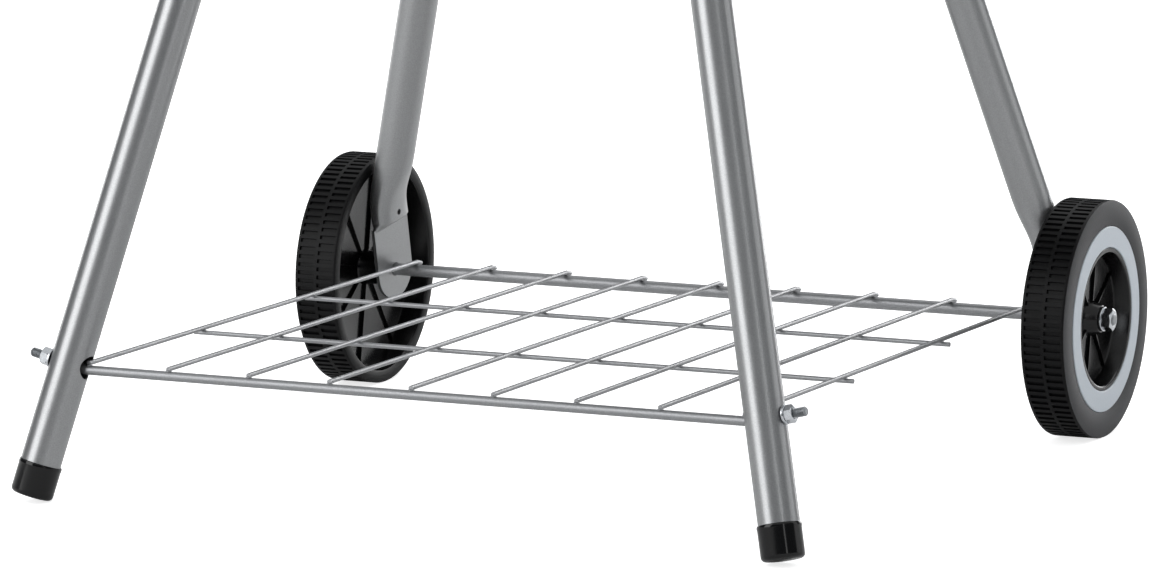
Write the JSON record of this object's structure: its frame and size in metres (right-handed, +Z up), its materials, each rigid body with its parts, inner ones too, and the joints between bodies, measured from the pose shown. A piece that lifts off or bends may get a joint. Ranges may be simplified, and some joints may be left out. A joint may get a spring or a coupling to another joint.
{
  "type": "kettle charcoal grill",
  "caption": "Kettle charcoal grill on splayed tube legs with capped front feet, rear wheels on an axle, a wire shelf, grates, ash pan, vents and a lift-off lid.",
  "frame": {"origin": "on the ground, at the middle of the grill's overall box, 15.2 mm behind the bowl's axis", "axes": "+Z up, +X to the right of a person at the front (capped feet side), +Y to the back (wheel side)"},
  "size_m": [0.6756, 0.6052, 0.8871],
  "materials": {
    "leg_paint": "silver metallic powder coat, satin",
    "shelf_coat": "silver-grey coat on wire, satin",
    "zinc": "bright zinc plate",
    "cap_plastic": "black moulded plastic, glossy",
    "wheel_plastic": "black blow-moulded plastic, satin",
    "ring_plastic": "pale grey plastic ring, satin",
    "enamel": "black porcelain enamel, glossy",
    "grate_plate": "nickel-chrome plated wire",
    "pan_metal": "plain aluminium sheet, satin",
    "grip_plastic": "black heat-proof plastic, fine grain"
  },
  "bodies": {
    "frame": {"bowl": "enamel", "leg_front_left": "leg_paint", "leg_front_right": "leg_paint", "leg_rear_left": "leg_paint", "leg_rear_right": "leg_paint", "leg_sockets": "enamel", "socket_screws": "zinc", "foot_cap_left": "cap_plastic", "foot_cap_right": "cap_plastic", "shelf_front_rod": "shelf_coat", "shelf_long_wires": "shelf_coat", "shelf_cross_wires": "shelf_coat", "shelf_rod_washers": "zinc", "shelf_rod_nuts": "zinc", "axle": "shelf_coat", "axle_washers": "zinc", "axle_nuts": "zinc", "cooking_grate_rests": "grate_plate", "charcoal_grate_rests": "grate_plate", "bowl_damper_pivot": "zinc", "ash_pan_cross": "grate_plate", "bowl_handle_left": "grate_plate", "bowl_handle_right": "grate_plate", "bowl_grip_left": "grip_plastic", "bowl_grip_right": "grip_plastic"},
    "wheel_left": {"wheel_left": "wheel_plastic", "wheel_ring_left": "ring_plastic"},
    "wheel_right": {"wheel_right": "wheel_plastic", "wheel_ring_right": "ring_plastic"},
    "bowl_damper": {"bowl_damper": "pan_metal", "bowl_damper_grip": "grip_plastic"},
    "ash_pan": {"ash_pan": "pan_metal"},
    "charcoal_grate": {"charcoal_grate": "grate_plate"},
    "cooking_grate": {"cooking_grate": "grate_plate"},
    "lid": {"lid": "enamel", "lid_damper_pivot": "zinc", "lid_handle": "grip_plastic", "lid_heat_shield": "pan_metal", "lid_handle_screws": "zinc"},
    "lid_damper": {"lid_damper": "pan_metal"}
  },
  "joints": [
    {"name": "wheel_left_spin", "type": "hinge", "parent": "frame", "child": "wheel_left", "pos_m": [-0.258, 0.2256, 0.077], "axis": [1, 0, 0], "continuous": true},
    {"name": "wheel_right_spin", "type": "hinge", "parent": "frame", "child": "wheel_right", "pos_m": [0.258, 0.2256, 0.077], "axis": [1, 0, 0], "continuous": true},
    {"name": "bowl_damper_turn", "type": "hinge", "parent": "frame", "child": "bowl_damper", "pos_m": [0, -0.0152, 0.434], "axis": [0, 0, 1], "range_deg": [0, 45]},
    {"name": "ash_pan_pull", "type": "slide", "parent": "frame", "child": "ash_pan", "axis": [0, -1, 0], "range_m": [0, 0.15]},
    {"name": "charcoal_grate_lift", "type": "slide", "parent": "frame", "child": "charcoal_grate", "axis": [0, 0, 1], "range_m": [0, 0.06]},
    {"name": "cooking_grate_lift", "type": "slide", "parent": "frame", "child": "cooking_grate", "axis": [0, 0, 1], "range_m": [0, 0.012]},
    {"name": "lid_lift", "type": "slide", "parent": "frame", "child": "lid", "axis": [0, 0, 1], "range_m": [0, 0.25]},
    {"name": "lid_damper_turn", "type": "hinge", "parent": "lid", "child": "lid_damper", "pos_m": [0, -0.1352, 0.82891], "axis": [0, -0.2311, 0.9729], "range_deg": [0, 45]}
  ]
}
